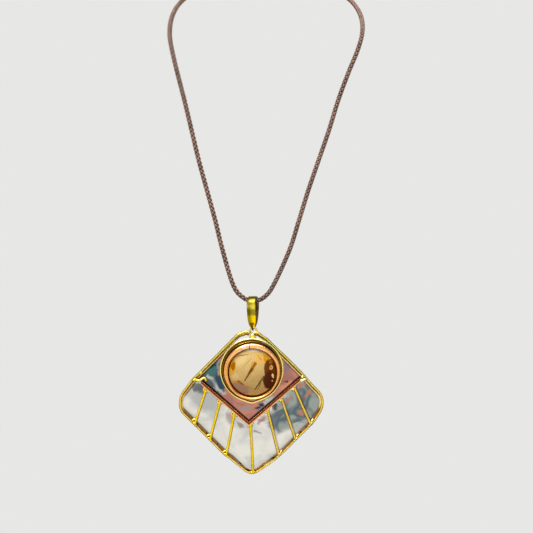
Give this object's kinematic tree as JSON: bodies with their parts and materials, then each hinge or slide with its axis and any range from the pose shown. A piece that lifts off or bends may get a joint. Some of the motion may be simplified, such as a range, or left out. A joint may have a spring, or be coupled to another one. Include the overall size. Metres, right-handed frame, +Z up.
{
  "type": "pendant necklace",
  "caption": "Square wire-framed pendant hung on its corner from a braided cord, with a round cabochon in a copper bezel, a copper chevron, fanned brass wires and a lobster clasp.",
  "frame": {"origin": "middle of the neck that carries the cord, level with the place where the cord turns down over the shoulders", "axes": "+Z up, the pendant faces -Y, +X to the right as seen from the front"},
  "size_m": [0.0984, 0.0834, 0.2653],
  "materials": {
    "bright_brass": "polished",
    "dull_brass": "satin",
    "nickel_silver": "polished",
    "copper": "polished",
    "cabochon": "polished",
    "pad": "matte",
    "solder": "polished",
    "braid": "waxed",
    "spring_steel": "satin"
  },
  "bodies": {
    "neck_cord": {"cord": "braid", "end_cap_left": "bright_brass", "end_cap_right": "bright_brass"},
    "bail": {"bail": "bright_brass"},
    "pendant": {"outer_frame_wire": "bright_brass", "inner_frame_wire": "dull_brass", "top_posts": "bright_brass", "back_plate": "nickel_silver", "chevron": "copper", "ray_1": "bright_brass", "ray_2": "bright_brass", "ray_3": "bright_brass", "ray_4": "bright_brass", "ray_5": "bright_brass", "ray_6": "bright_brass", "ray_7": "bright_brass", "tie_left": "bright_brass", "tie_right": "bright_brass", "bezel_wall": "copper", "halo_ring": "bright_brass", "stone": "cabochon", "stone_bed": "pad", "hanging_eye": "bright_brass", "solder_joints": "solder"},
    "left_ring": {"jump_ring_left": "bright_brass"},
    "right_ring": {"jump_ring_right": "bright_brass"},
    "clasp": {"clasp_body": "bright_brass", "clasp_pin": "dull_brass", "clasp_spring": "spring_steel"},
    "lever": {"clasp_lever": "bright_brass"}
  },
  "joints": [
    {"name": "bail_swing", "type": "hinge", "parent": "neck_cord", "child": "bail", "pos_m": [-0.0062, -0.04, -0.1225], "axis": [-1, 0, 0], "range_deg": [-10, 80]},
    {"name": "pendant_sway", "type": "hinge", "parent": "bail", "child": "pendant", "pos_m": [-0.0062, -0.04, -0.1367], "axis": [0, 1, 0], "range_deg": [-25, 25]},
    {"name": "left_ring_spin", "type": "hinge", "parent": "neck_cord", "child": "left_ring", "pos_m": [-0.0072, 0.034, 0.0575], "axis": [0, 0, 1], "continuous": true},
    {"name": "right_ring_spin", "type": "hinge", "parent": "neck_cord", "child": "right_ring", "pos_m": [0.00645, 0.034, 0.0582], "axis": [0, 0, 1], "continuous": true},
    {"name": "clasp_roll", "type": "hinge", "parent": "neck_cord", "child": "clasp", "pos_m": [-0.00535, 0.034, 0.0575], "axis": [1, 0, 0], "range_deg": [-10, 10]},
    {"name": "clasp_trigger", "type": "hinge", "parent": "clasp", "child": "lever", "pos_m": [-0.00003, 0.034, 0.05645], "axis": [0, -1, 0], "range_deg": [0, 25], "stiffness_Nm_per_rad": 0.0005, "springref_deg": -17.19}
  ]
}
